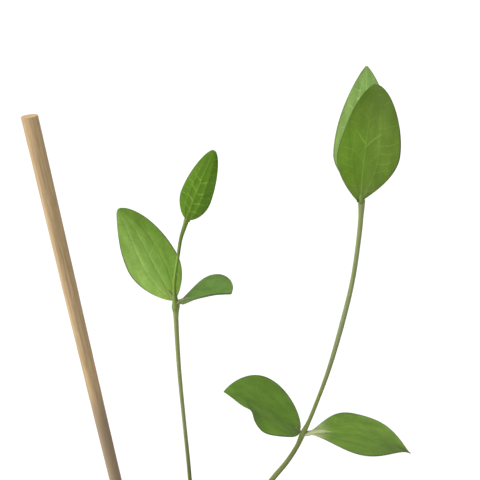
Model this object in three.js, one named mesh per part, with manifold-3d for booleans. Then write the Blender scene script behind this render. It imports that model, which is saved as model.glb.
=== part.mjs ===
// A potted climbing plant: two shoots with leaves in pairs, a wooden support stick, soil and a nursery pot.
// Millimetres, +Z up, with the middle of the pot's base at the origin.
import * as THREE from 'three';
import { mergeVertices } from 'three/addons/utils/BufferGeometryUtils.js';
import Module from 'manifold-3d';

const wasm = await Module();
wasm.setup();

const GAP = 0.3;

// Pot: a tapered plastic wall, with a wider collar at the top that ends in a thick lip
const POT_HEIGHT = 125;
const POT_TOP_RADIUS = 68;
const POT_BASE_RADIUS = 49;
const POT_WALL = 1.6;
const POT_FLOOR = 2;
const POT_SEGMENTS = 56;
const COLLAR_HEIGHT = 18;
const COLLAR_STEP = 2.9;
const WALL_TOP_RADIUS = 62.3;
const LIP_HEIGHT = 2;
const LIP_WIDTH = 1.4;
const DRAIN_HOLES = 8;
const DRAIN_HOLE_RADIUS = 2.5;
const DRAIN_CIRCLE_RADIUS = 38;

// Soil: fills the pot to a little above the shelf under the collar
const SOIL_LEVEL = 112;
const SOIL_EDGE_DROP = 1.5;
const SOIL_RINGS = 9;
const SOIL_SEGMENTS = 48;
const SOIL_LUMP = 0.9;

// Support stick: its middle line from the lower end in the soil to the cut top, slightly bowed
const STICK_DIAMETER = 6;
const STICK_SIDES = 16;
const STICK_STEPS = 8;
const STICK_LINE = [
  [-29.4, 3.8, 8],
  [-35.3, -0.2, 112],
  [-43.9, -5.4, 255],
  [-52, -11.6, 407.5],
];

// Stems: middle line from the soil upwards as x, y, z and the stem's radius there, thicker at each leaf node
const STEM_SIDES = 8;
const STEM_STEPS = 48;
const STEM_LEFT_LINE = [
  [-6.8, 5.8, 96, 1.08],
  [-6, 5.5, 112, 1.08],
  [-4.6, 4.8, 150, 1.05],
  [-4.1, 3.6, 185, 1.02],
  [-4.3, 2.2, 217, 1],
  [-5.1, -0.6, 256, 0.92],
  [-5.5, -3.8, 286.5, 0.96],
  [-5.3, -6.2, 305, 0.97],
  [-4.9, -8.5, 320, 1.05],
  [-4.7, -9.15, 324.2, 1.25],
  [-4.55, -9.65, 327.4, 1.75],
  [-4.5, -10.05, 330, 1.3],
  [-4.5, -10.9, 335, 0.74],
  [-3.9, -11.2, 342, 0.68],
  [-2.2, -11.5, 351.6, 0.65],
  [-0.6, -11.8, 360, 0.72],
  [1.6, -12, 366.6, 0.95],
];
const STEM_RIGHT_LINE = [
  [4.6, 1.2, 96, 1.5],
  [5, 1, 112, 1.5],
  [8.4, 1.1, 135, 1.45],
  [15.4, 1.2, 160, 1.4],
  [26, 1, 187, 1.35],
  [40.1, 0.5, 214.9, 1.28],
  [46.6, -0.5, 227.5, 1.18],
  [51.4, -1.5, 239.8, 1.13],
  [53.6, -2, 248.3, 1.45],
  [56, -2.6, 256.5, 0.95],
  [59.4, -3.8, 271.6, 0.89],
  [63, -5.6, 290.8, 0.98],
  [66.4, -8.4, 317.5, 1.09],
  [68.4, -11.2, 341, 0.93],
  [68.4, -14.2, 362, 0.93],
  [68.1, -15.1, 370.5, 0.97],
  [67.6, -15.9, 376.6, 1.3],
];

// Leaves. node: the point of the stem that a leaf grows from; its foot starts out from there, and back towards its
// underside. azimuth and rise: the way it sets off, in degrees, from +X towards +Y and up from level. roll: turns
// the upper face about that direction. stalk: the share of the length before the blade spreads; widest: where it is
// widest. shoulder and taper: how round the outline is below and above that. arch and tipArch bend it towards its
// underside, sweep and tipSweep sideways, and twist about its own line. fold: how far each half is lifted from the
// midrib, and curl how much more towards the margin. wave: the margins' waves in mm, left and right, with their
// number and phase. bends: places where a margin rises or dips by itself, each [side, height in mm, share of the
// length, reach].
const BLADE_THICKNESS = 0.7;
const FOOT_HALF_WIDTH = 0.9;
const TIP_HALF_WIDTH = 0.3;
const LENGTH_STRIPS = 20;
const HALF_WIDTH_STRIPS = 3;
const LEFT = 0;
const RIGHT = 1;
const LEFT_NODE = { node: [-4.5, -10, 329.3], out: 1.9, back: 0 };
const LEFT_TIP = { node: [1.6, -12, 366.6], out: 0.8, back: 0.6 };
const RIGHT_NODE = { node: [53.6, -2, 248.3], out: 2, back: 0 };
const RIGHT_TIP = { node: [67.6, -15.9, 376.6], out: 0.8, back: 0.6 };
const LEAVES = [
  {
    name: 'leaf_left_node_large', foot: LEFT_NODE,
    azimuth: 126, rise: 25.7, roll: -6, length: 50, width: 23.4,
    stalk: 0, widest: 0.41, shoulder: 0.74, taper: 0.6, arch: -22.4, tipArch: 0,
    sweep: -5.5, tipSweep: 33, twist: 0, fold: 6.3, curl: -8,
    wave: [0, 0], waves: 1, phase: 0.5, bends: [],
  },
  {
    name: 'leaf_left_node_small', foot: LEFT_NODE,
    azimuth: -21, rise: 26, roll: 2.5, length: 25.5, width: 24,
    stalk: 0.02, widest: 0.52, shoulder: 1.26, taper: 0.45, arch: 1.5, tipArch: 18.5,
    sweep: -2, tipSweep: 0, twist: -6.5, fold: 21, curl: -0.5,
    wave: [0, -1.15], waves: 0.63, phase: 0.04, bends: [[LEFT, -0.25, 0.5, 0.12]],
  },
  {
    name: 'leaf_left_tip_front', foot: LEFT_TIP,
    azimuth: -59, rise: 57.9, roll: -49, length: 31.8, width: 12.5,
    stalk: 0.07, widest: 0.4, shoulder: 0.58, taper: 0.52, arch: -55, tipArch: 0,
    sweep: -4, tipSweep: 0, twist: -3.5, fold: 5, curl: 25.5,
    wave: [0, 0], waves: 1, phase: 0.5, bends: [[LEFT, -0.14, 0.25, 0.09]],
  },
  {
    name: 'leaf_left_tip_back', foot: LEFT_TIP,
    azimuth: 47, rise: 55, roll: 0, length: 28, width: 11.5,
    stalk: 0.03, widest: 0.41, shoulder: 0.8, taper: 0.8, arch: -10, tipArch: 0,
    sweep: 0, tipSweep: 0, twist: 0, fold: 2, curl: 5,
    wave: [0.1, -0.1], waves: 1.2, phase: 0.4, bends: [],
  },
  {
    name: 'leaf_right_node_left', foot: RIGHT_NODE,
    azimuth: 164.5, rise: 40, roll: -0.7, length: 46, width: 31.6,
    stalk: 0, widest: 0.48, shoulder: 0.6, taper: 0.9, arch: 0.5, tipArch: 20,
    sweep: 27, tipSweep: 0, twist: 0, fold: 15, curl: -11,
    wave: [-1.5, 0], waves: 1.39, phase: 0.55, bends: [[LEFT, -0.35, 0.52, 0.1], [LEFT, 2.2, 0.75, 0.06]],
  },
  {
    name: 'leaf_right_node_right', foot: RIGHT_NODE,
    azimuth: -1.5, rise: 10.8, roll: 0, length: 53, width: 29.5,
    stalk: 0.02, widest: 0.5, shoulder: 1.4, taper: 1.33, arch: 35, tipArch: 8,
    sweep: -9, tipSweep: 0, twist: 0, fold: 4, curl: 4.4,
    wave: [-2.05, 0], waves: 1.45, phase: 0.5, bends: [],
  },
  {
    name: 'leaf_right_tip_front', foot: RIGHT_TIP,
    azimuth: -124, rise: 83.5, roll: 0.5, length: 42.9, width: 24,
    stalk: 0.02, widest: 0.42, shoulder: 0.92, taper: 0.57, arch: -45.5, tipArch: 0.8,
    sweep: -8.8, tipSweep: 0, twist: -9, fold: 4, curl: 14,
    wave: [0, 1.1], waves: 1.14, phase: 0.52, bends: [[LEFT, 0.75, 0.47, 0.2], [RIGHT, -2.2, 0.09, 0.2]],
  },
  {
    name: 'leaf_right_tip_back', foot: RIGHT_TIP,
    azimuth: 82, rise: 55, roll: -7, length: 50, width: 22.7,
    stalk: 0.02, widest: 0.36, shoulder: 1.1, taper: 0.78, arch: -26, tipArch: 7,
    sweep: 0, tipSweep: 0, twist: 1, fold: 6, curl: 12,
    wave: [0, 0.1], waves: 1.6, phase: 0.18, bends: [[LEFT, -0.2, 0.75, 0.15], [RIGHT, -1.3, 0.15, 0.15]],
  },
];

const radians = THREE.MathUtils.degToRad;

function closedSolid(geometry) {
  geometry.deleteAttribute('normal');
  geometry.deleteAttribute('uv');
  const merged = mergeVertices(geometry, 1e-4);
  const corners = merged.index.array;
  const kept = [];
  for (let i = 0; i < corners.length; i += 3) {
    const [a, b, c] = [corners[i], corners[i + 1], corners[i + 2]];
    if (a !== b && b !== c && c !== a) {
      kept.push(a, b, c);
    }
  }
  merged.setIndex(kept);
  return merged;
}

function toManifold(geometry) {
  const solid = closedSolid(geometry);
  return new wasm.Manifold(new wasm.Mesh({
    numProp: 3,
    vertProperties: new Float32Array(solid.attributes.position.array),
    triVerts: new Uint32Array(solid.index.array),
  }));
}

function toGeometry(manifold) {
  const mesh = manifold.getMesh();
  const geometry = new THREE.BufferGeometry();
  geometry.setAttribute('position', new THREE.BufferAttribute(mesh.vertProperties, 3));
  geometry.setIndex(new THREE.BufferAttribute(mesh.triVerts, 1));
  return geometry;
}

function subPart(name, geometry, material) {
  geometry.computeVertexNormals();
  const mesh = new THREE.Mesh(geometry, material);
  mesh.name = name;
  return mesh;
}

// A round rod bent along a line of [x, y, z, radius] points; spare widens it all round and lengthens both ends.
function bentRod(line, sides, steps, spare = 0) {
  const curve = new THREE.CatmullRomCurve3(line.map(([x, y, z]) => new THREE.Vector3(x, y, z)));
  const radii = line.map((point) => point[3]);
  const rod = new THREE.CylinderGeometry(1, 1, 1, sides, steps);
  const positions = rod.attributes.position;
  const corner = new THREE.Vector3();
  for (let i = 0; i < positions.count; i += 1) {
    corner.fromBufferAttribute(positions, i);
    const along = THREE.MathUtils.clamp(corner.y + 0.5, 0, 1);
    const ahead = curve.getTangent(along);
    const front = new THREE.Vector3(1, 0, 0).cross(ahead).normalize();
    const side = new THREE.Vector3().crossVectors(ahead, front);
    const before = Math.min(Math.floor(along * (radii.length - 1)), radii.length - 2);
    const share = along * (radii.length - 1) - before;
    const radius = THREE.MathUtils.lerp(radii[before], radii[before + 1], share) + spare;
    const middle = curve.getPoint(along);
    if (along === 0) {
      middle.addScaledVector(ahead, -spare);
    }
    if (along === 1) {
      middle.addScaledVector(ahead, spare);
    }
    middle.addScaledVector(side, corner.x * radius);
    middle.addScaledVector(front, corner.z * radius);
    positions.setXYZ(i, middle.x, middle.y, middle.z);
  }
  return rod;
}

function potSolid() {
  const collarBottom = POT_HEIGHT - COLLAR_HEIGHT;
  const collarRadius = WALL_TOP_RADIUS + COLLAR_STEP;
  const lipInner = POT_TOP_RADIUS - LIP_WIDTH;
  const profile = [
    [0, 0],
    [POT_BASE_RADIUS - 1.5, 0],
    [POT_BASE_RADIUS, 1.5],
    [WALL_TOP_RADIUS, collarBottom],
    [collarRadius, collarBottom],
    [lipInner, POT_HEIGHT - LIP_HEIGHT - 1],
    [POT_TOP_RADIUS, POT_HEIGHT - LIP_HEIGHT],
    [POT_TOP_RADIUS, POT_HEIGHT - 0.5],
    [POT_TOP_RADIUS - 0.5, POT_HEIGHT],
    [lipInner - POT_WALL, POT_HEIGHT],
    [collarRadius - POT_WALL, collarBottom + POT_FLOOR],
    [WALL_TOP_RADIUS - POT_WALL, collarBottom + POT_FLOOR],
    [POT_BASE_RADIUS - POT_WALL, POT_FLOOR],
    [0, POT_FLOOR],
  ];
  const points = profile.map(([radius, height]) => new THREE.Vector2(radius, height));
  const shell = new THREE.LatheGeometry(points, POT_SEGMENTS);
  shell.rotateX(Math.PI / 2);
  let pot = toManifold(shell);
  for (let i = 0; i < DRAIN_HOLES; i += 1) {
    const turn = (2 * Math.PI * i) / DRAIN_HOLES;
    const drill = new THREE.CylinderGeometry(DRAIN_HOLE_RADIUS, DRAIN_HOLE_RADIUS, 3 * POT_FLOOR, 16);
    drill.rotateX(Math.PI / 2);
    drill.translate(DRAIN_CIRCLE_RADIUS * Math.cos(turn), DRAIN_CIRCLE_RADIUS * Math.sin(turn), POT_FLOOR / 2);
    pot = pot.subtract(toManifold(drill));
  }
  return toGeometry(pot);
}

// The soil's top is gently lumpy: two crossed waves, which fade out at the pot's wall.
function soilLump(x, y) {
  const broad = Math.sin(0.13 * x + 0.6) * Math.cos(0.11 * y - 0.4);
  const fine = Math.sin(0.31 * x - 0.19 * y) * Math.sin(0.27 * y + 0.23 * x + 1);
  return SOIL_LUMP * (broad + 0.6 * fine);
}

function soilSolid(buriedRods) {
  const shelf = POT_HEIGHT - COLLAR_HEIGHT + POT_FLOOR + GAP;
  const wallInner = WALL_TOP_RADIUS - POT_WALL - GAP;
  const edge = WALL_TOP_RADIUS + COLLAR_STEP - POT_WALL - GAP;
  const points = [
    new THREE.Vector2(0, POT_FLOOR + GAP),
    new THREE.Vector2(POT_BASE_RADIUS - POT_WALL - GAP, POT_FLOOR + GAP),
    new THREE.Vector2(wallInner, shelf),
    new THREE.Vector2(edge, shelf),
  ];
  for (let ring = 0; ring <= SOIL_RINGS; ring += 1) {
    const share = 1 - ring / SOIL_RINGS;
    points.push(new THREE.Vector2(edge * share, SOIL_LEVEL - SOIL_EDGE_DROP * share ** 3));
  }
  const filling = new THREE.LatheGeometry(points, SOIL_SEGMENTS);
  filling.rotateX(Math.PI / 2);
  const positions = filling.attributes.position;
  for (let i = 0; i < positions.count; i += 1) {
    const [x, y, z] = [positions.getX(i), positions.getY(i), positions.getZ(i)];
    const share = Math.hypot(x, y) / edge;
    if (z > shelf + GAP && share < 0.99) {
      positions.setZ(i, z + soilLump(x, y) * (1 - share ** 4));
    }
  }
  let soil = toManifold(filling);
  for (const hole of buriedRods) {
    soil = soil.subtract(toManifold(hole));
  }
  return toGeometry(soil);
}

// Where the midrib is, and which way it, the blade's left half and its upper face point, at each strip.
function midribFrames(leaf) {
  const [azimuth, rise] = [radians(leaf.azimuth), radians(leaf.rise)];
  const ahead0 = new THREE.Vector3(
    Math.cos(rise) * Math.cos(azimuth),
    Math.cos(rise) * Math.sin(azimuth),
    Math.sin(rise),
  );
  const left0 = new THREE.Vector3(-Math.sin(azimuth), Math.cos(azimuth), 0);
  left0.applyAxisAngle(ahead0, radians(leaf.roll));
  const up0 = new THREE.Vector3().crossVectors(ahead0, left0);
  const frames = [];
  for (let i = 0; i <= LENGTH_STRIPS; i += 1) {
    const along = i / LENGTH_STRIPS;
    const bend = radians(leaf.arch * along + leaf.tipArch * along ** 4);
    const ahead = ahead0.clone().applyAxisAngle(left0, bend);
    const up = up0.clone().applyAxisAngle(left0, bend);
    const left = left0.clone();
    const turn = radians(leaf.sweep * along + leaf.tipSweep * along ** 4);
    ahead.applyAxisAngle(up, turn);
    left.applyAxisAngle(up, turn);
    left.applyAxisAngle(ahead, radians(leaf.twist * along));
    up.applyAxisAngle(ahead, radians(leaf.twist * along));
    const point = new THREE.Vector3(...leaf.foot.node);
    point.addScaledVector(ahead0, leaf.foot.out).addScaledVector(up0, -leaf.foot.back);
    if (i > 0) {
      const last = frames[i - 1];
      const step = (0.5 * leaf.length) / LENGTH_STRIPS;
      point.copy(last.point).addScaledVector(last.ahead, step).addScaledVector(ahead, step);
    }
    frames.push({ point, ahead, left, up });
  }
  return frames;
}

function halfWidth(leaf, along) {
  const opened = THREE.MathUtils.clamp((along - leaf.stalk) / (leaf.widest - leaf.stalk), 0, 1);
  const below = Math.sin((Math.PI / 2) * opened) ** leaf.shoulder;
  const beyond = Math.max((along - leaf.widest) / (1 - leaf.widest), 0);
  const above = Math.max(Math.cos((Math.PI / 2) * beyond), 0) ** leaf.taper;
  const belly = leaf.width / 2 - FOOT_HALF_WIDTH * (1 - leaf.widest);
  return Math.max(FOOT_HALF_WIDTH * (1 - along) + belly * below * above, TIP_HALF_WIDTH);
}

// How far a margin stands above or below the blade's own curve.
function marginLift(leaf, along, side) {
  const wave = leaf.wave[side] * Math.sin(2 * Math.PI * (leaf.waves * along + leaf.phase));
  let lift = wave * Math.sin(Math.PI * along) ** 0.7;
  for (const [bentSide, height, at, reach] of leaf.bends) {
    if (bentSide === side) {
      lift += height * Math.exp(-(((along - at) / reach) ** 2));
    }
  }
  return lift;
}

// The blade is a grid of strips laid along the midrib. Its two faces are split into triangles alike, half the
// thickness above and below the grid, and a rim joins them.
function leafBlade(leaf) {
  const across = 2 * HALF_WIDTH_STRIPS;
  const grid = new THREE.PlaneGeometry(2, 1, across, LENGTH_STRIPS);
  const frames = midribFrames(leaf);
  const [fold, curl] = [radians(leaf.fold), radians(leaf.curl)];
  const positions = grid.attributes.position;
  for (let i = 0; i < positions.count; i += 1) {
    const row = Math.floor(i / (across + 1));
    const along = row / LENGTH_STRIPS;
    const outward = Math.abs(positions.getX(i));
    const side = positions.getX(i) < 0 ? LEFT : RIGHT;
    const { point, left, up } = frames[row];
    const half = halfWidth(leaf, along);
    const sideways = (half * (Math.sin(fold + curl * outward) - Math.sin(fold))) / curl;
    const lift = (half * (Math.cos(fold) - Math.cos(fold + curl * outward))) / curl;
    const corner = point.clone().addScaledVector(left, side === LEFT ? sideways : -sideways);
    corner.addScaledVector(up, lift + marginLift(leaf, along, side) * outward ** 2);
    positions.setXYZ(i, corner.x, corner.y, corner.z);
  }
  return thicken(grid, across, LENGTH_STRIPS, BLADE_THICKNESS);
}

function thicken(grid, across, rows, thickness) {
  grid.computeVertexNormals();
  const { position, normal } = grid.attributes;
  const count = position.count;
  const vertices = [];
  for (const offset of [thickness / 2, -thickness / 2]) {
    for (let i = 0; i < count; i += 1) {
      const corner = new THREE.Vector3().fromBufferAttribute(position, i);
      corner.addScaledVector(new THREE.Vector3().fromBufferAttribute(normal, i), offset);
      vertices.push(corner.x, corner.y, corner.z);
    }
  }
  const triangles = [];
  const faces = grid.index.array;
  for (let i = 0; i < faces.length; i += 3) {
    const [a, b, c] = [faces[i], faces[i + 1], faces[i + 2]];
    triangles.push(a, b, c, a + count, c + count, b + count);
  }
  const rim = [];
  for (let i = 0; i < rows; i += 1) {
    rim.push(i * (across + 1));
  }
  for (let i = 0; i < across; i += 1) {
    rim.push(rows * (across + 1) + i);
  }
  for (let i = rows; i > 0; i -= 1) {
    rim.push(i * (across + 1) + across);
  }
  for (let i = across; i > 0; i -= 1) {
    rim.push(i);
  }
  for (let i = 0; i < rim.length; i += 1) {
    const [a, b] = [rim[i], rim[(i + 1) % rim.length]];
    triangles.push(a, a + count, b, b, a + count, b + count);
  }
  const blade = new THREE.BufferGeometry();
  blade.setAttribute('position', new THREE.Float32BufferAttribute(vertices, 3));
  blade.setIndex(triangles);
  return blade;
}

function stickSolid(spare = 0) {
  const radius = STICK_DIAMETER / 2;
  const line = STICK_LINE.map((point) => [...point, radius]);
  return bentRod(line, STICK_SIDES, STICK_STEPS, spare);
}

const plastic = new THREE.MeshStandardMaterial({ color: '#5b524a', roughness: 0.6, metalness: 0 });
const soil = new THREE.MeshStandardMaterial({ color: '#3a2a1e', roughness: 0.95, metalness: 0 });
const wood = new THREE.MeshStandardMaterial({ color: '#aa9373', roughness: 0.7, metalness: 0 });
const stem = new THREE.MeshStandardMaterial({ color: '#6c7646', roughness: 0.55, metalness: 0 });
const leaf = new THREE.MeshStandardMaterial({ color: '#577329', roughness: 0.5, metalness: 0 });

const plant = new THREE.Group();
plant.add(subPart('pot', potSolid(), plastic));
plant.add(subPart('soil', soilSolid([
  stickSolid(GAP),
  bentRod(STEM_LEFT_LINE, STEM_SIDES, STEM_STEPS, GAP),
  bentRod(STEM_RIGHT_LINE, STEM_SIDES, STEM_STEPS, GAP),
]), soil));
plant.add(subPart('support_stick', stickSolid(), wood));
plant.add(subPart('stem_left', bentRod(STEM_LEFT_LINE, STEM_SIDES, STEM_STEPS), stem));
plant.add(subPart('stem_right', bentRod(STEM_RIGHT_LINE, STEM_SIDES, STEM_STEPS), stem));
for (const blade of LEAVES) {
  plant.add(subPart(blade.name, leafBlade(blade), leaf));
}

export default plant;
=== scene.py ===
import math
import random

import bmesh
import bpy
from mathutils import Matrix, Quaternion, Vector, noise


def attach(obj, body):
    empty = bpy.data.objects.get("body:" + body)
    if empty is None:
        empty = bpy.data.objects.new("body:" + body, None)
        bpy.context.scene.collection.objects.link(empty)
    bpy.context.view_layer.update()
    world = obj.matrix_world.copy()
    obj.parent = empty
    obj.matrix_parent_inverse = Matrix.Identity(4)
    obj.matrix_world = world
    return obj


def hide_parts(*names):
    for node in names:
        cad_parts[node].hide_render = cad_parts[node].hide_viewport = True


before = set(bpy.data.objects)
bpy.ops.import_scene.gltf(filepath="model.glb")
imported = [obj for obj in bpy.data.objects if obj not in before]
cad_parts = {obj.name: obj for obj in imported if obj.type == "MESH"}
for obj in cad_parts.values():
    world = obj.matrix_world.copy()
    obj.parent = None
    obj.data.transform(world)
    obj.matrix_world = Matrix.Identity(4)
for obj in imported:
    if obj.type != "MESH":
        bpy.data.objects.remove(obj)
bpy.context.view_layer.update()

# Pot: a round nursery pot for one young plant, with a stepped collar by which empty pots nest.
# It is moulded in one piece from thin taupe polypropylene, and eight holes drain its floor.
POT_STEPS = 160
DRAIN_HOLES = 8
DRAIN_HOLE_RADIUS = 0.0025
DRAIN_CIRCLE_RADIUS = 0.038
DRILL_LENGTH = 0.01
pot_profile = [
    (0, 0.8), (43.2, 0.8), (44.0, 0.1), (44.6, 0), (47.3, 0), (48.4, 0.4), (48.9, 1.3),
    (49.2, 2.6), (52.2, 27), (55.6, 54), (59, 81), (62.1, 105.8), (62.5, 106.7), (63.2, 107.02),
    (64.6, 107.05), (65.1, 107.3), (65.3, 108), (65.9, 115), (66.4, 121.4), (66.8, 122), (67.5, 122.4),
    (67.9, 123), (67.95, 124.2), (67.6, 124.8), (67, 124.98), (65.8, 124.98), (65.2, 124.7), (64.9, 124),
    (64.3, 116), (63.7, 110), (63.4, 109.2), (62.6, 108.95), (61.4, 108.9), (60.8, 108.6), (60.5, 107.8),
    (57.2, 81), (53.8, 54), (50.4, 27), (47.5, 3.2), (46.9, 2.3), (46, 2), (0, 2),
]


class Signal:
    """One output socket of a shader tree. Arithmetic written on it adds Math nodes."""

    def __init__(self, tree, socket):
        self.tree = tree
        self.socket = socket

    def node(self, kind, settings, inputs, output=0):
        """Adds a node of any kind: first its settings, then values or links for its sockets."""
        made = self.tree.nodes.new(kind)
        for name, value in settings.items():
            if name == "stops":
                self.set_stops(made.color_ramp, value)
            else:
                setattr(made, name, value)
        self.feed(made, inputs)
        return Signal(self.tree, made.outputs[output])

    def set_stops(self, ramp, stops):
        for extra in stops[2:]:
            ramp.elements.new(extra[0])
        for element, (place, colour) in zip(ramp.elements, stops):
            element.position = place
            element.color = (*colour, 1)

    def feed(self, made, inputs):
        for name, value in inputs.items():
            socket = made.inputs[name]
            if isinstance(value, Signal):
                self.tree.links.new(value.socket, socket)
            elif socket.type == "RGBA":
                socket.default_value = (*value, 1)
            else:
                socket.default_value = value

    def maths(self, operation, *values):
        return self.node("ShaderNodeMath", {"operation": operation}, dict(enumerate(values)))

    def __add__(self, other):
        return self.maths("ADD", self, other)

    __radd__ = __add__

    def __sub__(self, other):
        return self.maths("SUBTRACT", self, other)

    def __rsub__(self, other):
        return self.maths("SUBTRACT", other, self)

    def __mul__(self, other):
        return self.maths("MULTIPLY", self, other)

    __rmul__ = __mul__

    def __truediv__(self, other):
        return self.maths("DIVIDE", self, other)

    def __abs__(self):
        return self.maths("ABSOLUTE", self)

    def fade(self, start, end):
        """Rises smoothly from 0 where this signal is at start to 1 where it is at end."""
        inputs = {"Value": self, "From Min": start, "From Max": end}
        return self.node("ShaderNodeMapRange", {"interpolation_type": "SMOOTHSTEP"}, inputs)

    def blend(self, first, second):
        """Mixes two colours, with this signal as the share of the second."""
        return self.node("ShaderNodeMix", {"data_type": "RGBA"}, {0: self, 6: first, 7: second}, 2)

    def part(self, axis):
        return self.node("ShaderNodeSeparateXYZ", {}, {0: self}, axis)

    def stretch(self, factors):
        return self.node("ShaderNodeVectorMath", {"operation": "MULTIPLY"}, {0: self, 1: factors})

    def noise(self, scale, detail=2.0, roughness=0.5):
        inputs = {"Vector": self, "Scale": scale, "Detail": detail, "Roughness": roughness}
        return self.node("ShaderNodeTexNoise", {}, inputs)


def new_finish(name, **uniform):
    """A material with a Principled shader; returns it, the shader and the piece's own place in metres."""
    finish = bpy.data.materials.new(name)
    finish.use_nodes = True
    tree = finish.node_tree
    shader = tree.nodes["Principled BSDF"]
    for word, value in uniform.items():
        shader.inputs[word.replace("_", " ")].default_value = value
    place = tree.nodes.new("ShaderNodeTexCoord").outputs["Object"]
    return finish, shader, Signal(tree, place)


def bumps(height, distance, strength=1.0):
    """Turns a height signal, from 0 to 1, into a relief that is distance metres deep."""
    return height.node("ShaderNodeBump", {}, {"Height": height, "Distance": distance, "Strength": strength})


def new_piece(name, mesh, finishes, slot, *nodes):
    """Puts a finished mesh in the scene on the plant's one body, in place of the named solids."""
    piece = bpy.data.objects.new(name, mesh)
    bpy.context.scene.collection.objects.link(piece)
    for finish in finishes:
        mesh.materials.append(finish)
    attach(piece, "root")
    if nodes:
        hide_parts(*nodes)
    return piece


def mesh_of(shape, name, sharp=180):
    """Ends a bmesh: writes it to a smooth shaded mesh whose creases over sharp degrees stay crisp."""
    mesh = bpy.data.meshes.new(name)
    shape.to_mesh(mesh)
    shape.free()
    mesh.shade_smooth()
    mesh.set_sharp_from_angle(angle=math.radians(sharp))
    return mesh


def turned(profile, steps):
    """A solid turned about Z from a profile of (radius, height) points in millimetres."""
    shape = bmesh.new()
    corners = [shape.verts.new((radius / 1000, 0, height / 1000)) for radius, height in profile]
    edges = [shape.edges.new(pair) for pair in zip(corners, corners[1:])]
    bmesh.ops.spin(
        shape,
        geom=corners + edges,
        axis=(0, 0, 1),
        cent=(0, 0, 0),
        angle=2 * math.pi,
        steps=steps,
        use_merge=True,
    )
    bmesh.ops.remove_doubles(shape, verts=shape.verts, dist=1e-6)
    bmesh.ops.recalc_face_normals(shape, faces=shape.faces)
    return shape


def drilled(mesh, drill):
    """Cuts the drill's solids out of a mesh."""
    body = bpy.data.objects.new("body", mesh)
    cutter = bpy.data.objects.new("cutter", drill)
    for item in (body, cutter):
        bpy.context.scene.collection.objects.link(item)
    cut = body.modifiers.new("drain_holes", "BOOLEAN")
    cut.operation = "DIFFERENCE"
    cut.object = cutter
    result = bpy.data.meshes.new_from_object(body.evaluated_get(bpy.context.evaluated_depsgraph_get()))
    for item in (body, cutter):
        bpy.data.objects.remove(item)
    return result


drills = bmesh.new()
for hole in range(DRAIN_HOLES):
    turn = 2 * math.pi * hole / DRAIN_HOLES
    where = (DRAIN_CIRCLE_RADIUS * math.cos(turn), DRAIN_CIRCLE_RADIUS * math.sin(turn), 0)
    bmesh.ops.create_cone(
        drills,
        cap_ends=True,
        segments=32,
        radius1=DRAIN_HOLE_RADIUS,
        radius2=DRAIN_HOLE_RADIUS,
        depth=DRILL_LENGTH,
        matrix=Matrix.Translation(where),
    )
pot_mesh = drilled(mesh_of(turned(pot_profile, POT_STEPS), "pot_wall", 40), mesh_of(drills, "drills"))

pot_plastic, shader, place = new_finish("pot_plastic", Specular_IOR_Level=0.45)
height = place.part("Z")
cloud = place.noise(28, 4)
scuffs = place.stretch((1, 1, 0.12)).noise(620, 3, 0.65).fade(0.62, 0.78)
dust = height.fade(0.03, 0.001) * place.noise(160, 4).fade(0.38, 0.66)
rim_dust = height.fade(0.1, 0.122) * place.noise(240, 5, 0.6).fade(0.5, 0.72)
moulded = cloud.blend((0.094, 0.075, 0.062), (0.121, 0.098, 0.081))
scuffed = (scuffs * 0.35).blend(moulded, (0.2, 0.17, 0.145))
dusty = (dust * 0.5 + rim_dust * 0.4).blend(scuffed, (0.17, 0.125, 0.088))
grain = place.noise(2600, 1) * 0.5 + place.stretch((1, 1, 6)).noise(160, 1) * 0.5
place.feed(
    shader,
    {
        "Base Color": dusty,
        "Roughness": 0.4 + cloud * 0.12 + dust * 0.2 + scuffs * 0.08,
        "Normal": bumps(grain, 0.00008),
    },
)
new_piece("nursery_pot", pot_mesh, [pot_plastic], "pot_plastic", "pot")

# Soil: moist peaty potting soil with white grains of perlite and a few chips of bark.
# It is filled in loose and pressed round the shoots and the stick, which it alone holds upright.
SOIL_STEPS = 180
SOIL_RINGS = 64
SOIL_LEVEL = 112
SOIL_BLANK_LEVEL = 111
SOIL_EDGE = 63
CRUMBS = 2600
PERLITE_GRAINS = 150
BARK_CHIPS = 90
PLANTED_AT = ((-6, 5.5), (5, 1), (-35.3, -0.2))


def soil_height(x, y):
    """The height of the soil's lumpy top above the floor, in millimetres, at a place in millimetres."""
    share = min(math.hypot(x, y) / SOIL_EDGE, 1)
    broad = math.sin(0.13 * x + 0.6) * math.cos(0.11 * y - 0.4)
    fine = math.sin(0.31 * x - 0.19 * y) * math.sin(0.27 * y + 0.23 * x + 1)
    lump = 0.9 * (broad + 0.6 * fine) * (1 - share ** 4)
    clods = 0.9 * noise.fractal(Vector((x, y, 3)) / 9, 0.9, 2.1, 5)
    mound = 0
    for near_x, near_y in PLANTED_AT:
        mound += 1.3 * math.exp(-((x - near_x) ** 2 + (y - near_y) ** 2) / 45)
    return SOIL_LEVEL - 1.5 * share ** 3 + lump + clods + mound


soil_profile = [(0, 2.3), (47.1, 2.3), (60.3, 108), (60.3, 109.3), (SOIL_EDGE, 109.3)]
for ring in range(SOIL_RINGS + 1):
    soil_profile.append((SOIL_EDGE * (1 - ring / SOIL_RINGS), SOIL_BLANK_LEVEL))
shape = turned(soil_profile, SOIL_STEPS)
for corner in shape.verts:
    if corner.co.z * 1000 > SOIL_BLANK_LEVEL - 0.5:
        corner.co.z = soil_height(corner.co.x * 1000, corner.co.y * 1000) / 1000

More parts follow.
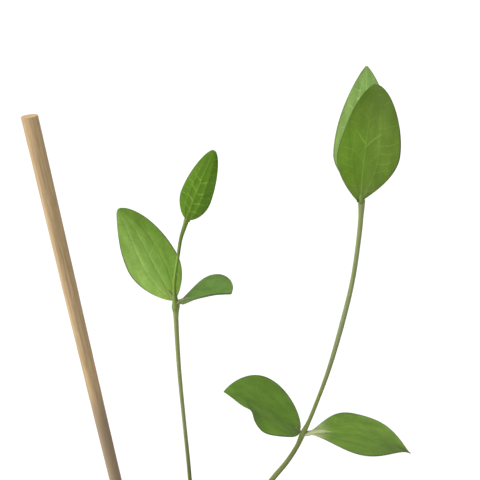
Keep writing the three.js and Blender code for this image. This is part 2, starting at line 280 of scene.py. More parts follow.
peat, shader, place = new_finish("peat", Specular_IOR_Level=0.3)
mottle = place.noise(260, 6, 0.65)
fibres = place.stretch((1, 0.22, 1)).noise(1500, 3, 0.7).fade(0.6, 0.74)
peat_colour = mottle.fade(0.3, 0.7).blend((0.018, 0.011, 0.007), (0.062, 0.038, 0.024))
place.feed(
    shader,
    {
        "Base Color": (fibres * 0.5).blend(peat_colour, (0.16, 0.1, 0.055)),
        "Roughness": 0.92 - mottle * 0.25,
        "Normal": bumps(mottle + place.noise(1900, 5, 0.7) * 0.5, 0.0014),
    },
)
new_piece("soil_bed", mesh_of(shape, "soil_bed"), [peat], "potting_soil", "soil")

perlite, shader, place = new_finish("perlite", Specular_IOR_Level=0.4)
pits = place.noise(2400, 4, 0.7)
stain = place.noise(300, 2).fade(0.45, 0.75)
place.feed(
    shader,
    {
        "Base Color": (stain * 0.7).blend((0.78, 0.76, 0.71), (0.42, 0.33, 0.24)),
        "Roughness": 0.75 + pits * 0.2,
        "Normal": bumps(pits, 0.0004),
    },
)
bark, shader, place = new_finish("bark", Specular_IOR_Level=0.3)
layers = place.stretch((1, 1, 5)).noise(420, 4, 0.6)
place.feed(
    shader,
    {
        "Base Color": layers.blend((0.045, 0.022, 0.012), (0.24, 0.125, 0.062)),
        "Roughness": 0.7 + layers * 0.25,
        "Normal": bumps(layers, 0.0006),
    },
)


def scattered(count, size, squash, seed, finish):
    """Grains strewn over the soil: rough twenty-sided lumps, half sunk in, each its own size and turn."""
    chance = random.Random(seed)
    lump = bmesh.new()
    bmesh.ops.create_icosphere(lump, subdivisions=1, radius=1)
    for corner in lump.verts:
        corner.co *= chance.uniform(0.72, 1.2)
    grain_mesh = bpy.data.meshes.new("grain")
    lump.to_mesh(grain_mesh)
    lump.free()
    grains = bmesh.new()
    for _ in range(count):
        radius = (SOIL_EDGE - 1.6) * math.sqrt(chance.random())
        turn = chance.uniform(0, 2 * math.pi)
        x, y = radius * math.cos(turn), radius * math.sin(turn)
        bulk = chance.uniform(*size) * chance.uniform(0.6, 1)
        before = len(grains.verts)
        grains.from_mesh(grain_mesh)
        grains.verts.ensure_lookup_table()
        lean = [chance.uniform(-1, 1) for _ in range(3)]
        tilt = Quaternion((*lean, 1)).normalized()
        scale = Matrix.Diagonal((bulk, bulk * squash[0], bulk * squash[1], 1))
        move = Matrix.Translation((x, y, soil_height(x, y) + 0.15 * bulk))
        placed = Matrix.Scale(0.001, 4) @ move @ tilt.to_matrix().to_4x4() @ scale
        for corner in grains.verts[before:]:
            corner.co = placed @ corner.co
    mesh = bpy.data.meshes.new(finish.name)
    grains.to_mesh(mesh)
    grains.free()
    return mesh


crumb_grains = scattered(CRUMBS, (0.5, 1.7), (0.8, 0.65), 11, peat)
perlite_grains = scattered(PERLITE_GRAINS, (0.6, 1.5), (0.9, 0.8), 12, perlite)
bark_grains = scattered(BARK_CHIPS, (1.4, 3.4), (0.45, 0.2), 13, bark)
new_piece("soil_crumbs", crumb_grains, [peat], "potting_soil")
new_piece("soil_perlite", perlite_grains, [perlite], "potting_soil")
new_piece("soil_bark", bark_grains, [bark], "potting_soil")

# Support stick: a round flower stick of pale split wood, a little bowed, that the shoots will climb.
# It is shaved to 6 mm, sawn square at the top and pushed into the soil; its fibres run lengthwise, and its
# lower half is painted darker, as painted shade.
STICK_LINE = [
    (-29.4, 3.8, 8, 3), (-35.3, -0.2, 112, 3), (-43.9, -5.4, 255, 3), (-52, -11.6, 407.5, 3),
]


def on_line(line, share):
    """The smooth line through points of (x, y, z, radius): its place, radius and travel at a share of it."""
    spans = len(line) - 1
    first = min(int(share * spans), spans - 1)
    local = share * spans - first
    points = [Vector(point[:3]) for point in line]
    lengths = [(end - start).length for start, end in zip(points, points[1:])]
    travel = sum(lengths[:first]) + local * lengths[first]
    before = points[first - 1] if first > 0 else 2 * points[0] - points[1]
    after = points[first + 2] if first + 2 <= spans else 2 * points[-1] - points[-2]
    ring = [before, points[first], points[first + 1], after]
    times = [0]
    for start, end in zip(ring, ring[1:]):
        times.append(times[-1] + math.sqrt((end - start).length))
    time = times[1] + local * (times[2] - times[1])
    for reach in (1, 2):
        pairs = zip(ring, ring[1:], times, times[reach:])
        ring = [start.lerp(end, (time - t0) / (t1 - t0)) for start, end, t0, t1 in pairs]
    radius = line[first][3] + (line[first + 1][3] - line[first][3]) * local
    return ring[0].lerp(ring[1], local), radius, travel


def rolled_tube(line, sides, rings, cap, relief):
    """A closed tube along a line, rolled from a flat grid. cap lists (share of the radius, rise in radii)
    for the rows that close the top; relief gives the surface's small rises, in millimetres."""
    rows = [(0, 0, 0)]
    rows += [(ring / rings, 1, 0) for ring in range(rings + 1)]
    rows += [(1, share, rise) for share, rise in cap]
    shape = bmesh.new()
    grain = shape.verts.layers.float_vector.new("grain")
    bmesh.ops.create_grid(shape, x_segments=sides, y_segments=len(rows) - 1, size=0.5)
    for corner in shape.verts:
        turn = 2 * math.pi * (corner.co.x + 0.5)
        along, share, rise = rows[round((corner.co.y + 0.5) * (len(rows) - 1))]
        middle, radius, travel = on_line(line, along)
        back, on = on_line(line, max(along - 0.004, 0))[0], on_line(line, min(along + 0.004, 1))[0]
        ahead = (on - back).normalized()
        front = Vector((1, 0, 0)).cross(ahead).normalized()
        side = ahead.cross(front)
        spread = (radius + relief(turn, travel, share)) * share
        out = side * math.cos(turn) + front * math.sin(turn)
        corner[grain] = (radius * share * math.cos(turn), radius * share * math.sin(turn), travel)
        corner.co = (middle + out * spread + ahead * rise * radius) / 1000
    bmesh.ops.remove_doubles(shape, verts=shape.verts, dist=2e-6)
    bmesh.ops.recalc_face_normals(shape, faces=shape.faces)
    return shape


def stick_relief(turn, travel, share):
    """Long shaved flats, shallow grooves between fibres, and a slight swelling at old knots."""
    around = Vector((math.cos(turn), math.sin(turn), 0))
    flats = 0.05 * noise.noise(around * 1.1 + Vector((0, 0, travel / 60)))
    grooves = 0.045 * noise.noise(around * 5 + Vector((3, 0, travel / 25)))
    knots = 0.06 * noise.noise(Vector((4, 1, travel / 14)))
    return (flats + grooves + knots) * share - 0.06


stick_shape = rolled_tube(
    STICK_LINE,
    sides=64,
    rings=260,
    cap=[(0.985, 0.0), (0.93, 0.02), (0.8, 0.02), (0.6, 0.02), (0.4, 0.02), (0.2, 0.02), (0, 0.02)],
    relief=stick_relief,
)

stick_wood, shader, place = new_finish("stick_wood", Specular_IOR_Level=0.25)
fibre = place.node("ShaderNodeAttribute", {"attribute_name": "grain"}, {}, "Vector")
long_streaks = fibre.stretch((1, 1, 0.035)).noise(1.5, 4, 0.6)
fine_fibres = fibre.stretch((1, 1, 0.05)).noise(6.5, 3, 0.65)
patches = fibre.stretch((1, 1, 0.25)).noise(0.35, 3, 0.55)
pores = fibre.stretch((1, 1, 0.16)).noise(9, 2, 0.7).fade(0.62, 0.74)
wood = long_streaks.fade(0.32, 0.68).blend((0.31, 0.215, 0.11), (0.487, 0.34, 0.184))
wood = (patches.fade(0.4, 0.7) * 0.45).blend(wood, (0.36, 0.26, 0.14))
wood = (fine_fibres.fade(0.5, 0.75) * 0.35).blend(wood, (0.62, 0.46, 0.28))
# Painted shade: the wood is painted darker from about 284 mm along the stick downwards, fully so below 248
# mm.
painted_shade_low = fibre.part("Z").fade(284, 248)
wood = (painted_shade_low * 0.88).blend(wood, (0.24, 0.175, 0.11))
wood = (pores * 0.5).blend(wood, (0.16, 0.1, 0.055))
place.feed(
    shader,
    {
        "Base Color": wood,
        "Roughness": 0.62 + fine_fibres * 0.25,
        "Normal": bumps(long_streaks * 0.5 + fine_fibres * 0.5 - pores * 0.3, 0.00022),
    },
)
stick_mesh = mesh_of(stick_shape, "flower_stick", 50)
new_piece("flower_stick", stick_mesh, [stick_wood], "stick_wood", "support_stick")

# Shoots: two young green stems, thin and faintly ribbed lengthwise, each swollen where leaves stand.
# They grew from one root ball and lean apart; the left one is the thinner.
STEM_LEFT_LINE = [
    (-6.8, 5.8, 96, 1.08), (-6, 5.5, 112, 1.08), (-4.6, 4.8, 150, 1.05), (-4.1, 3.6, 185, 1.02),
    (-4.3, 2.2, 217, 1), (-5.1, -0.6, 256, 0.92), (-5.5, -3.8, 286.5, 0.96), (-5.3, -6.2, 305, 0.97),
    (-4.9, -8.5, 320, 1.05), (-4.7, -9.15, 324.2, 1.25), (-4.55, -9.65, 327.4, 1.75),
    (-4.5, -10.05, 330, 1.3), (-4.5, -10.9, 335, 0.74), (-3.9, -11.2, 342, 0.68),
    (-2.2, -11.5, 351.6, 0.65), (-0.6, -11.8, 360, 0.72), (1.6, -12, 366.6, 0.95),
]
STEM_RIGHT_LINE = [
    (4.6, 1.2, 96, 1.5), (5, 1, 112, 1.5), (8.4, 1.1, 135, 1.45), (15.4, 1.2, 160, 1.4),
    (26, 1, 187, 1.35), (40.1, 0.5, 214.9, 1.28), (46.6, -0.5, 227.5, 1.18), (51.4, -1.5, 239.8, 1.13),
    (53.6, -2, 248.3, 1.45), (56, -2.6, 256.5, 0.95), (59.4, -3.8, 271.6, 0.89), (63, -5.6, 290.8, 0.98),
    (66.4, -8.4, 317.5, 1.09), (68.4, -11.2, 341, 0.93), (68.4, -14.2, 362, 0.93), (68.1, -15.1, 370.5, 0.97),
    (67.6, -15.9, 376.6, 1.3),
]
BUD_CAP = [(1.0, 0.4), (0.93, 0.9), (0.78, 1.5), (0.55, 2.1), (0.28, 2.6), (0, 2.8)]


def stem_relief(turn, travel, share):
    """Six soft ribs, which fade in and out along the stem."""
    fade = 0.6 + 0.4 * math.sin(travel / 17)
    return 0.035 * fade * math.cos(6 * turn + travel / 90) * share


def stem_finish(name, *greens):
    """A stem's skin: greens are its colours at travels in millimetres, with fine lengthwise lines."""
    finish, shader, place = new_finish(
        name, Specular_IOR_Level=0.15, Subsurface_Weight=0.4, Subsurface_Scale=0.0012
    )
    shader.inputs["Subsurface Radius"].default_value = (0.8, 1, 0.3)
    fibre = place.node("ShaderNodeAttribute", {"attribute_name": "grain"}, {}, "Vector")
    lines = fibre.stretch((1, 1, 0.04)).noise(4.5, 3, 0.6)
    blotch = fibre.stretch((1, 1, 0.3)).noise(0.5, 3, 0.55)
    travel = fibre.part("Z")
    green = greens[0][1]
    for (start, before), (end, after) in zip(greens, greens[1:]):
        green = travel.fade(start, end).blend(green, after)
    lit = green.stretch((1.3, 1.28, 1.3))
    worn = green.stretch((1.0, 0.82, 0.8))
    green = (lines.fade(0.45, 0.72) * 0.5).blend(green, lit)
    green = (blotch.fade(0.48, 0.72) * 0.5).blend(green, worn)
    inputs = {
        "Base Color": green,
        "Roughness": 0.55 + lines * 0.2,
        "Normal": bumps(lines, 0.00012),
    }
    place.feed(shader, inputs)
    return finish


stem_left_skin = stem_finish(
    "stem_left_skin",
    (0, (0.11, 0.13, 0.036)),
    (121, (0.105, 0.122, 0.034)),
    (140, (0.145, 0.165, 0.056)),
    (160, (0.18, 0.2, 0.08)),
    (210, (0.19, 0.215, 0.076)),
    (228, (0.19, 0.215, 0.074)),
    # Painted light: from 234 to 255 mm, where the shoot passes in front of the large leaf, it is painted a
    # lighter leaf green, so that its shaded side does not show as a dark line.
    (234, (0.13, 0.19, 0.042)),
    (242, (0.145, 0.23, 0.038)),
    (255, (0.14, 0.225, 0.038)),
    (260, (0.11, 0.16, 0.035)),
    (267, (0.095, 0.135, 0.024)),
    (273, (0.115, 0.17, 0.032)),
)
stem_right_skin = stem_finish(
    "stem_right_skin",
    (0, (0.105, 0.125, 0.033)),
    (148, (0.105, 0.125, 0.034)),
    (160, (0.13, 0.16, 0.042)),
    (188, (0.13, 0.165, 0.046)),
    (202, (0.14, 0.165, 0.06)),
    (235, (0.165, 0.195, 0.083)),
    (258, (0.16, 0.19, 0.076)),
    (290, (0.175, 0.215, 0.075)),
)
left_shape = rolled_tube(STEM_LEFT_LINE, 36, 300, BUD_CAP, stem_relief)
right_shape = rolled_tube(STEM_RIGHT_LINE, 36, 320, BUD_CAP, stem_relief)
new_piece("shoot_left", mesh_of(left_shape, "shoot_left"), [stem_left_skin], "stem_green", "stem_left")
new_piece("shoot_right", mesh_of(right_shape, "shoot_right"), [stem_right_skin], "stem_green", "stem_right")

# Leaves: four opposite pairs of simple oval blades, soft and thin, each on a short stalk.
# The stalk runs on as the midrib, with two long side veins and small cross veins on either hand.
BLADE_THICKNESS = 0.00036
FOOT_HALF_WIDTH = 0.9
TIP_HALF_WIDTH = 0.3
SOFT_CREASE = 0.9
LENGTH_STRIPS = 104
WIDTH_STRIPS = 44
LEFT = 0
RIGHT = 1


def midrib(foot, points, bend, length):
    """Where the midrib is, and which way it, the blade's left half and its upper face point, row by row."""
    azimuth, rise = math.radians(points["azimuth"]), math.radians(points["rise"])
    level = math.cos(rise)
    ahead0 = Vector((level * math.cos(azimuth), level * math.sin(azimuth), math.sin(rise)))
    left0 = Vector((-math.sin(azimuth), math.cos(azimuth), 0))
    left0.rotate(Quaternion(ahead0, math.radians(points["roll"])))
    up0 = ahead0.cross(left0)
    where = Vector(foot["node"]) + ahead0 * foot["out"] - up0 * foot["back"]
    rows = []
    for row in range(LENGTH_STRIPS + 1):
        share = row / LENGTH_STRIPS
        arch = Quaternion(left0, math.radians(bend["arch"] * share + bend["tip_arch"] * share ** 4))
        up = arch @ up0
        sweep = Quaternion(up, math.radians(bend["sweep"] * share + bend["tip_sweep"] * share ** 4))
        ahead = sweep @ (arch @ ahead0)
        twist = Quaternion(ahead, math.radians(bend["twist"] * share))
        left = twist @ (sweep @ left0)
        if rows:
            where = where + (rows[-1][1] + ahead) * (0.5 * length / LENGTH_STRIPS)
        rows.append((where, ahead, left, twist @ up))
    return rows


def half_width(outline, share):
    """Half of the blade's width at a share of its length, in millimetres."""
    stalk, widest = outline["stalk"], outline["widest"]
    middle = outline["width"] / 2 - FOOT_HALF_WIDTH * (1 - widest)
    opened = min(max((share - stalk) / (widest - stalk), 0), 1)
    inner = math.sin(math.pi / 2 * opened) ** outline["shoulder"]
    outer = max(math.cos(math.pi / 2 * max(share - widest, 0) / (1 - widest)), 0) ** outline["taper"]
    return max(FOOT_HALF_WIDTH * (1 - share) + middle * inner * outer, TIP_HALF_WIDTH)


def margin_lift(margin, share, side):
    """How far the margin on one side rises above the fold, in millimetres."""
    ripple = math.sin(2 * math.pi * (margin["waves"] * share + margin["phase"]))
    lift = margin["wave"][side] * ripple * math.sin(math.pi * share) ** 0.7
    for bent_side, height, at, reach in margin["bends"]:
        if bent_side == side:
            lift += height * math.exp(-(((share - at) / reach) ** 2))
    return lift


def vein_relief(across, share, half, seed):
    """The upper face sinks along the veins and is softly pillowed between them, in millimetres."""
    rib = -0.18 * math.exp(-((across / 0.8) ** 2)) * (1 - 0.6 * share)
    side = abs(abs(across) - 0.42 * half)
    side_vein = -0.14 * math.exp(-((side / 0.7) ** 2)) * math.sin(math.pi * share)
    pillow = 0.13 * noise.noise(Vector((across / 3.4, share * 6, seed)))
    return rib + side_vein + pillow * (1 - (abs(across) / half) ** 4)


def blade_shape(rows, outline, section, margin, seed):
    """The blade as a fine sheet, folded, curled and rippled, placed by the midrib's rows."""
    shape = bmesh.new()
    blade = shape.verts.layers.float_vector.new("blade")
    bmesh.ops.create_grid(shape, x_segments=WIDTH_STRIPS, y_segments=LENGTH_STRIPS, size=0.5)
    fold = math.radians(section["fold"])
    curl = math.radians(section["curl"])
    for corner in shape.verts:
        out = abs(corner.co.x) * 2
        side = LEFT if corner.co.x < 0 else RIGHT
        row = round((corner.co.y + 0.5) * LENGTH_STRIPS)
        share = row / LENGTH_STRIPS
        where, ahead, left, up = rows[row]
        half = half_width(outline, share)
        soft = SOFT_CREASE / half
        eased = (math.hypot(out, soft) - soft) / (math.hypot(1, soft) - soft)
        sideways = half * (math.sin(fold + curl * out) - math.sin(fold)) / curl
        lift = half * (math.cos(fold) - math.cos(fold + curl * eased)) / curl
        lift += out ** 2 * margin_lift(margin, share, side)
        across = half * out * (1 if side == LEFT else -1)
        lift += vein_relief(across, share, half, seed)
        sideways *= 1 if side == LEFT else -1
        corner.co = (where + left * sideways + up * lift) / 1000
        corner[blade] = (across, share * outline["length"], half)
    return shape


def stalk_line(foot, rows, thick, reach):
    """The stalk's centre, from inside the stem to the blade, and on as the ridge under the midrib."""
    line = [(*foot["node"], thick)]
    stages = ((0, thick), (0.35 * reach, 0.95 * thick), (0.7 * reach, 0.7 * thick), (reach, 0.26))
    stages += ((0.32, 0.2), (0.46, 0.14), (0.6, 0.08))
    for share, radius in stages:
        where, _, _, up = rows[round(share * LENGTH_STRIPS)]
        ridge = 0.42 - 0.25 * share - radius
        line.append((*(where - up * ridge * min(share / reach, 1)), radius))
    return line


def blade_veins(blade, length, forks):
    """The net of veins: the midrib, the long side veins, the forks between them, rungs and a fine mesh.
    forks lists where along the blade the midrib forks, and how strongly."""
    across, along, half = blade.part("X"), blade.part("Y"), blade.part("Z")
    flat = blade.stretch((1, 1, 0))
    share = along / length
    wander = flat.noise(0.16, 2) - 0.5
    drift = flat.noise(0.09, 1) - 0.5
    side = abs(across + wander * 0.5)
    reach = side / half
    rib_width = 0.75 - share * 0.55
    rib = side.fade(rib_width * 0.6, rib_width * 0.2)
    long_veins = abs(reach - 0.42 - wander * 0.16) * half
    long_veins = long_veins.fade(0.42, 0.1) * share.fade(0.95, 0.6) * share.fade(0, 0.08)
    uneven = across.maths("GREATER_THAN", across, 0)
    rise = along - side * half * 0.07 + drift * 5 + uneven * 1.1
    branch = 0
    for at, strength in forks:
        gap = abs(rise - at * length)
        branch = gap.fade(0.55, 0.12) * strength + branch
    branch = branch * reach.fade(0.6, 0.36)
    steps = (along - side * 0.3) / 3.1 + wander * 1.6 + uneven * 0.36
    rungs = abs(steps.maths("FRACT", steps) - 0.5) * 2.9
    rungs = rungs.fade(0.34, 0.06) * reach.fade(0.3, 0.45) * reach.fade(0.97, 0.75)
    rungs = rungs * flat.noise(0.2, 1).fade(0.34, 0.6)
    cells = {"Vector": flat, "Scale": 0.8, "Randomness": 0.9}
    mesh = blade.node("ShaderNodeTexVoronoi", {"feature": "DISTANCE_TO_EDGE"}, cells)
    return reach, share, rib, long_veins, branch, rungs, mesh.fade(0.1, 0.02)


def blade_finish(name, length, forks, colours, painted_half_light, veined, underside):
    """One face of a leaf: soft green with paler veins, sunk in above and raised below.
    colours are its foot, middle and tip, halves the factors by which its left and right sides are painted
    lighter or darker beside those, as painted light and shade across the fold, and veined is how much its
    veins stand out."""
    finish, shader, place = new_finish(
        name,
        Specular_IOR_Level=0.07 if underside else 0.13,
        Subsurface_Weight=0.1,
        Subsurface_Scale=0.0012,
    )
    shader.inputs["Subsurface Radius"].default_value = (0.6, 1, 0.2)
    blade = place.node("ShaderNodeAttribute", {"attribute_name": "blade"}, {}, "Vector")
    reach, share, rib, long_veins, branch, rungs, mesh = blade_veins(blade, length, forks)
    tone = blade.stretch((1, 0.4, 0)).noise(0.28, 4, 0.55)
    speckle = blade.stretch((1, 1, 0)).noise(1.9, 3, 0.6)
    foot, middle, tip = colours
    near_foot = share.fade(0.3, 0.02)
    green = (near_foot * near_foot).blend(share.fade(0.45, 0.95).blend(middle, tip), foot)
    # Painted light and shade: the blade's left side and right side are painted lighter or darker by their own
    # factors, as light falls across the fold.
    left, right = painted_half_light
    painted_hand_light = (blade.part("X") / blade.part("Z")).fade(-0.5, 0.5).blend(right, left)
    green = green.node("ShaderNodeVectorMath", {"operation": "MULTIPLY"}, {0: green, 1: painted_hand_light})
    deep = green.stretch((0.84, 0.87, 0.8))
    bright = green.stretch((1.16, 1.13, 1.2))
    pale = green.stretch((1.75, 1.52, 2.1))
    green = tone.fade(0.3, 0.7).blend(deep, bright)
    green = (speckle.fade(0.4, 0.75) * 0.16).blend(green, pale)
    veins = rib * 0.5 + long_veins * 0.17 + branch * 0.55 + rungs * 0.4 + mesh * 0.1
    green = (veins * veined).blend(green, pale)
    edge = reach.fade(0.94, 0.985) * share.fade(0.05, 0.14)
    green = (edge * 0.7).blend(green, (0.06, 0.07, 0.028))
    relief = rib * 0.4 + long_veins * 0.25 + branch * 0.35 + rungs * 0.3 + mesh * 0.1
    height = relief if underside else 1 - relief
    inputs = {
        "Base Color": green,
        "Roughness": (0.66 if underside else 0.52) + speckle * 0.14,
        "Normal": bumps(height + speckle * 0.12, 0.00018),
    }
    place.feed(shader, inputs)
    return finish


def leaf(
    node, foot, points, outline, bend, section, margin, stalk, upper, under, painted_half_light, forks, veined, seed
):
    """Makes one leaf: a blade with its two faces, and a stalk that goes on below as the midrib.
    stalk is its radius, the share of the blade by which it has thinned to the midrib, and its colour."""
    rows = midrib(foot, points, bend, outline["length"])
    shape = blade_shape(rows, outline, section, margin, seed)
    length = outline["length"]
    faces = [
        blade_finish(node + "_upper", length, forks, upper, painted_half_light, veined[0], False),
        blade_finish(node + "_under", length, forks, under, painted_half_light, veined[1], True),
    ]
    blade = new_piece(node + "_blade", mesh_of(shape, node), faces, "leaf_green", node)
    shell = blade.modifiers.new("thickness", "SOLIDIFY")
    shell.thickness = BLADE_THICKNESS
    shell.offset = 0
    shell.material_offset = 1
    thick, reach, colour = stalk
    pale_rib = tuple(1.3 * part for part in under[1])
    green_stop = (1 + reach * length * 0.5, colour)
    rib_stop = (3 + reach * length * 1.3, pale_rib)
    skin = stem_finish(node + "_stalk", green_stop, rib_stop)
    line = stalk_line(foot, rows, thick, reach)
    tube = rolled_tube(line, 20, 100, [(0.8, 0.4), (0.4, 0.7), (0, 0.8)], stem_relief)
    new_piece(node + "_stalk", mesh_of(tube, node + "_stalk"), [skin], "leaf_green")


left_node = {"node": (-4.5, -10, 329.3), "out": 1.9, "back": 0}
left_tip = {"node": (1.6, -12, 366.6), "out": 0.8, "back": 0.6}
right_node = {"node": (53.6, -2, 248.3), "out": 2, "back": 0}
right_tip = {"node": (67.6, -15.9, 376.6), "out": 0.8, "back": 0.6}

# The large leaf up and to the left of the left shoot's node, its upper face to the viewer.
leaf(
    "leaf_left_node_large",
    foot=left_node,
    points={"azimuth": 126, "rise": 25.7, "roll": -6},
    outline={"length": 50, "width": 23.4, "stalk": 0, "widest": 0.41, "shoulder": 0.74, "taper": 0.6},
    bend={"arch": -22.4, "tip_arch": 0, "sweep": -5.5, "tip_sweep": 33, "twist": 0},
    section={"fold": 6.3, "curl": -8},
    margin={"wave": (0, 0), "waves": 1, "phase": 0.5, "bends": []},
    stalk=(0.85, 0.12, (0.13, 0.18, 0.045)),
    upper=((0.145, 0.235, 0.034), (0.143, 0.256, 0.041), (0.124, 0.226, 0.032)),
    under=((0.12, 0.19, 0.03), (0.1, 0.165, 0.03), (0.1, 0.165, 0.03)),
    painted_half_light=((1.3, 1.21, 1.45), (0.77, 0.79, 0.6)),
    forks=((0.3, 0.3), (0.48, 0.5), (0.66, 0.3)),
    veined=(0.65, 0.9),
    seed=1,
)

# The small leaf across from it, folded like a boat, with its lower half hidden by the fold.
leaf(
    "leaf_left_node_small",
    foot=left_node,
    points={"azimuth": -21, "rise": 26, "roll": 2.5},
    outline={"length": 25.5, "width": 24, "stalk": 0.02, "widest": 0.52, "shoulder": 1.26, "taper": 0.45},
    bend={"arch": 1.5, "tip_arch": 18.5, "sweep": -2, "tip_sweep": 0, "twist": -6.5},
    section={"fold": 21, "curl": -0.5},
    margin={"wave": (0, -1.15), "waves": 0.63, "phase": 0.04, "bends": [(LEFT, -0.25, 0.5, 0.12)]},
    stalk=(1.05, 0.3, (0.12, 0.14, 0.055)),
    upper=((0.078, 0.108, 0.03), (0.066, 0.128, 0.022), (0.066, 0.128, 0.022)),
    under=((0.085, 0.11, 0.037), (0.065, 0.125, 0.028), (0.065, 0.125, 0.028)),
    painted_half_light=((1, 1, 1), (1, 1, 1)),
    forks=((0.35, 0.4), (0.6, 0.5)),
    veined=(0.25, 0.7),
    seed=2,
)

# The front leaf at the left shoot's tip, which shows its veined lower face.
leaf(
    "leaf_left_tip_front",
    foot=left_tip,
    points={"azimuth": -59, "rise": 57.9, "roll": -49},
    outline={"length": 31.8, "width": 12.5, "stalk": 0.07, "widest": 0.4, "shoulder": 0.58, "taper": 0.52},
    bend={"arch": -55, "tip_arch": 0, "sweep": -4, "tip_sweep": 0, "twist": -3.5},
    section={"fold": 5, "curl": 25.5},
    margin={"wave": (0, 0), "waves": 1, "phase": 0.5, "bends": [(LEFT, -0.14, 0.25, 0.09)]},
    stalk=(0.75, 0.1, (0.115, 0.165, 0.034)),
    upper=((0.08, 0.12, 0.02), (0.075, 0.14, 0.015), (0.075, 0.14, 0.015)),
    under=((0.075, 0.13, 0.012), (0.056, 0.119, 0.0078), (0.046, 0.098, 0.0053)),
    painted_half_light=((1.28, 1.28, 1.5), (1.04, 1.04, 1.08)),
    forks=((0.24, 0.7), (0.36, 1), (0.5, 0.9), (0.64, 0.7)),
    veined=(0.5, 1.9),
    seed=3,
)

# The leaf that pairs with it, behind.
leaf(
    "leaf_left_tip_back",
    foot=left_tip,
    points={"azimuth": 47, "rise": 55, "roll": 0},
    outline={"length": 28, "width": 11.5, "stalk": 0.03, "widest": 0.41, "shoulder": 0.8, "taper": 0.8},
    bend={"arch": -10, "tip_arch": 0, "sweep": 0, "tip_sweep": 0, "twist": 0},
    section={"fold": 2, "curl": 5},
    margin={"wave": (0.1, -0.1), "waves": 1.2, "phase": 0.4, "bends": []},
    # Painted light: the stalk and the foot of both faces are painted lighter, to lift the shade they stand in
    # behind the front leaf.
    stalk=(0.5, 0.1, (0.13, 0.19, 0.04)),
    upper=((0.14, 0.21, 0.035), (0.085, 0.16, 0.016), (0.085, 0.16, 0.016)),
    under=((0.14, 0.21, 0.035), (0.068, 0.13, 0.01), (0.068, 0.13, 0.01)),
    painted_half_light=((1, 1, 1), (1, 1, 1)),
    forks=((0.3, 0.6), (0.45, 0.8), (0.62, 0.6)),
    veined=(0.5, 1),
    seed=4,
)

# The left leaf of the right shoot's node, which swings down and has one deep wave in its lower margin.
leaf(
    "leaf_right_node_left",
    foot=right_node,
    points={"azimuth": 164.5, "rise": 40, "roll": -0.7},
    outline={"length": 46, "width": 31.6, "stalk": 0, "widest": 0.48, "shoulder": 0.6, "taper": 0.9},
    bend={"arch": 0.5, "tip_arch": 20, "sweep": 27, "tip_sweep": 0, "twist": 0},
    section={"fold": 15, "curl": -11},
    margin={
        "wave": (-1.5, 0), "waves": 1.39, "phase": 0.55,
        "bends": [(LEFT, -0.35, 0.52, 0.1), (LEFT, 2.2, 0.75, 0.06)],
    },
    stalk=(0.8, 0.08, (0.14, 0.17, 0.055)),
    upper=((0.118, 0.2, 0.031), (0.116, 0.222, 0.026), (0.114, 0.218, 0.029)),
    under=((0.08, 0.13, 0.025), (0.07, 0.135, 0.022), (0.07, 0.135, 0.022)),
    painted_half_light=((1, 1, 1), (1, 1, 1)),
    forks=((0.3, 0.3), (0.5, 0.5), (0.68, 0.4)),
    veined=(0.25, 0.8),
    seed=5,
)

# The right leaf of that node, nearly level, with a pale narrow foot.
leaf(
    "leaf_right_node_right",
    foot=right_node,
    points={"azimuth": -1.5, "rise": 10.8, "roll": 0},
    outline={"length": 53, "width": 29.5, "stalk": 0.02, "widest": 0.5, "shoulder": 1.4, "taper": 1.33},
    bend={"arch": 35, "tip_arch": 8, "sweep": -9, "tip_sweep": 0, "twist": 0},
    section={"fold": 4, "curl": 4.4},
    margin={"wave": (-2.05, 0), "waves": 1.45, "phase": 0.5, "bends": []},
    stalk=(1.2, 0.24, (0.36, 0.4, 0.2)),
    upper=((0.36, 0.4, 0.21), (0.098, 0.176, 0.0235), (0.092, 0.156, 0.028)),
    under=((0.32, 0.36, 0.18), (0.085, 0.155, 0.025), (0.078, 0.14, 0.025)),
    painted_half_light=((1.06, 1.06, 1.06), (0.96, 0.96, 0.96)),
    forks=((0.32, 0.3), (0.5, 0.4), (0.66, 0.3)),
    veined=(0.35, 0.8),
    seed=6,
)

# The front leaf at the right shoot's tip, bent back over its partner, lower face to the viewer.
leaf(
    "leaf_right_tip_front",
    foot=right_tip,
    points={"azimuth": -124, "rise": 83.5, "roll": 0.5},
    outline={"length": 42.9, "width": 24, "stalk": 0.02, "widest": 0.42, "shoulder": 0.92, "taper": 0.57},
    bend={"arch": -45.5, "tip_arch": 0.8, "sweep": -8.8, "tip_sweep": 0, "twist": -9},
    section={"fold": 4, "curl": 14},
    margin={
        "wave": (0, 1.1), "waves": 1.14, "phase": 0.52,
        "bends": [(LEFT, 0.75, 0.47, 0.2), (RIGHT, -2.2, 0.09, 0.2)],
    },
    stalk=(1.1, 0.09, (0.11, 0.155, 0.037)),
    upper=((0.085, 0.125, 0.025), (0.09, 0.165, 0.016), (0.09, 0.165, 0.016)),
    under=((0.09, 0.14, 0.024), (0.07, 0.129, 0.012), (0.048, 0.085, 0.0085)),
    painted_half_light=((1.0, 0.95, 1.18), (0.78, 0.82, 0.62)),
    forks=((0.34, 0.35), (0.5, 1), (0.7, 0.35)),
    veined=(0.5, 1.0),
    seed=7,
)

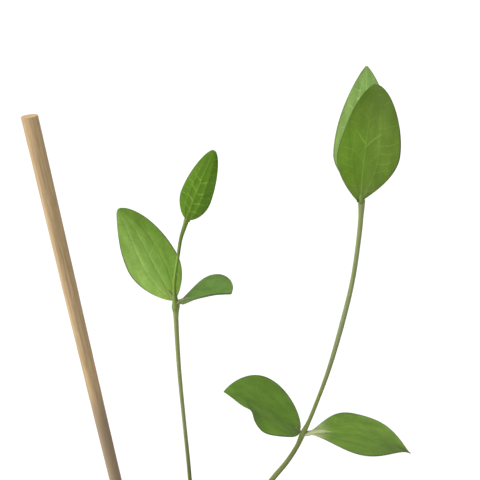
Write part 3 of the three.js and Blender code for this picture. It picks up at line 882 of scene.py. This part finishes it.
# Its partner behind, of which a long strip of the upper face shows at the left and above.
leaf(
    "leaf_right_tip_back",
    foot=right_tip,
    points={"azimuth": 82, "rise": 55, "roll": -7},
    outline={"length": 50, "width": 22.7, "stalk": 0.02, "widest": 0.36, "shoulder": 1.1, "taper": 0.78},
    bend={"arch": -26, "tip_arch": 7, "sweep": 0, "tip_sweep": 0, "twist": 1},
    section={"fold": 6, "curl": 12},
    margin={
        "wave": (0, 0.1), "waves": 1.6, "phase": 0.18,
        "bends": [(LEFT, -0.2, 0.75, 0.15), (RIGHT, -1.3, 0.15, 0.15)],
    },
    stalk=(1.0, 0.09, (0.12, 0.165, 0.04)),
    upper=((0.14, 0.21, 0.045), (0.155, 0.255, 0.058), (0.13, 0.222, 0.049)),
    # Painted light: the lower face is painted paler toward its foot, to lift the shade it stands in behind
    # the stem.
    under=((0.12, 0.18, 0.035), (0.075, 0.14, 0.022), (0.075, 0.14, 0.022)),
    painted_half_light=((1.22, 1.19, 1.26), (0.77, 0.8, 0.79)),
    forks=((0.2, 0.4), (0.34, 0.5), (0.48, 0.6), (0.62, 0.6), (0.76, 0.5)),
    veined=(1.3, 0.8),
    seed=8,
)

# Studio: a wide floor of pale paper, a soft sky brighter low down, and a broad sun from the upper left.
# The camera stands 200 mm in front of the pot's middle, a little above the plant, and looks down at it.
FLOOR_RADIUS = 60
floor_shape = bmesh.new()
bmesh.ops.create_circle(floor_shape, cap_ends=True, segments=96, radius=FLOOR_RADIUS)
floor_paper, shader, place = new_finish("floor_paper", Specular_IOR_Level=0.0, Roughness=1.0)
place.feed(shader, {"Base Color": place.noise(3, 2).blend((0.64, 0.64, 0.64), (0.67, 0.67, 0.67))})
floor = bpy.data.objects.new("floor", mesh_of(floor_shape, "floor"))
floor.data.materials.append(floor_paper)
bpy.context.scene.collection.objects.link(floor)

sky = bpy.data.worlds.new("studio_sky")
sky.use_nodes = True
glow = sky.node_tree.nodes["Background"]
glow.inputs["Color"].default_value = (1, 1, 1, 1)
direction = Signal(sky.node_tree, sky.node_tree.nodes.new("ShaderNodeTexCoord").outputs["Generated"])
direction.feed(glow, {"Strength": direction.part("Z").fade(0.4, 0.02) * 0.58 + 0.42})
bpy.context.scene.world = sky

sun = bpy.data.objects.new("sun", bpy.data.lights.new("sun", "SUN"))
sun.data.energy = 5.4
sun.data.angle = math.radians(50)
sun.rotation_euler = (math.radians(43), 0, math.radians(-68))
bpy.context.scene.collection.objects.link(sun)

camera = bpy.data.objects.new("camera", bpy.data.cameras.new("camera"))
camera.data.lens = 39.75
camera.data.sensor_width = 36
camera.data.clip_start = 0.01
camera.data.clip_end = 200
camera.location = (0.0225, -0.2, 0.447)
camera.rotation_euler = (math.radians(65), 0, 0)
bpy.context.scene.collection.objects.link(camera)
bpy.context.scene.camera = camera
bpy.context.scene.view_settings.view_transform = "Standard"
